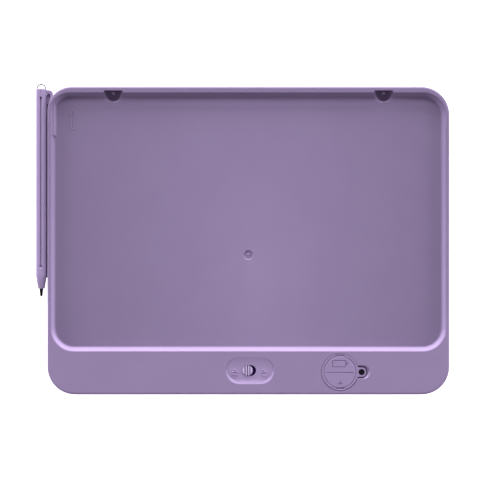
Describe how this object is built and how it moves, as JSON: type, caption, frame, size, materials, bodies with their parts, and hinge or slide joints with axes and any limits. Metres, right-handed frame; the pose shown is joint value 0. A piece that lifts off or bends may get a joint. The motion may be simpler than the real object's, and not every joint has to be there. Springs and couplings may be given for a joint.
{
  "type": "kids toy tablet",
  "caption": "Children's LCD drawing tablet lying face down, with a clip-on stylus, a lock switch, an erase button and a screwed coin-cell lid.",
  "frame": {"origin": "middle of the case outline, on the plane of the front bezel that the tablet lies on", "axes": "+Z out of the back cover; +Y towards the top edge, away from the chin; +X to the right as seen from behind, away from the stylus"},
  "size_m": [0.2674, 0.2011, 0.0085],
  "materials": {
    "case_plastic": "lavender moulded plastic, fine matte grain",
    "stylus_plastic": "lavender moulded plastic, smooth",
    "nib_plastic": "black",
    "loop_cord": "grey round cord",
    "screen_film": "dark film behind a clear hard coat",
    "tape": "black adhesive tape",
    "sheet": "pale plastic sheet",
    "foam": "soft grey foam",
    "button_rubber": "darker lavender, matte",
    "steel": "bright plated steel",
    "brass": "turned",
    "contact_metal": "plated spring strip",
    "board": "green solder mask",
    "component_black": "black moulding",
    "component_tan": "ceramic",
    "flex": "amber flexible film"
  },
  "bodies": {
    "case": {"rear_cover": "case_plastic", "front_frame": "case_plastic", "adhesive_frame": "tape", "lcd_film": "screen_film", "backing_sheet": "sheet", "foam_pad": "foam", "lcd_flex_tail": "flex", "circuit_board": "board", "driver_chip": "component_black", "boost_inductor": "component_black", "capacitor_a": "component_tan", "capacitor_b": "component_tan", "board_screw_1": "steel", "board_screw_2": "steel", "board_screw_3": "steel", "board_screw_4": "steel", "erase_switch_body": "component_black", "slide_switch_body": "component_black", "screw_insert": "brass", "coin_cell": "steel", "battery_contact_positive": "contact_metal", "battery_contact_negative": "contact_metal", "case_screw_left": "steel", "case_screw_right": "steel"},
    "stylus": {"stylus_barrel": "stylus_plastic", "stylus_clip_cap": "stylus_plastic", "stylus_nib": "nib_plastic", "lanyard_loop": "loop_cord"},
    "erase_key": {"erase_button": "button_rubber", "erase_switch_stem": "component_black"},
    "lock_knob": {"lock_slider": "case_plastic", "lock_plate": "component_black", "slide_switch_lever": "component_black"},
    "battery_lid": {"battery_cover": "case_plastic"},
    "lid_screw": {"battery_cover_screw": "steel"}
  },
  "joints": [
    {"name": "stylus_slide", "type": "slide", "parent": "case", "child": "stylus", "axis": [0, 1, 0], "range_m": [0, 0.045]},
    {"name": "erase_button_press", "type": "slide", "parent": "case", "child": "erase_key", "axis": [0, 0, 1], "range_m": [0, 0.0004], "stiffness_N_per_m": 400, "springref_m": -0.001},
    {"name": "lock_slide", "type": "slide", "parent": "case", "child": "lock_knob", "axis": [1, 0, 0], "range_m": [0, 0.002]},
    {"name": "battery_cover_lift", "type": "slide", "parent": "case", "child": "battery_lid", "axis": [0, 0, 1], "range_m": [0, 0.014]},
    {"name": "cover_screw_turn", "type": "hinge", "parent": "battery_lid", "child": "lid_screw", "pos_m": [0.0732, -0.085, 0.0077], "axis": [0, 0, 1], "continuous": true}
  ]
}
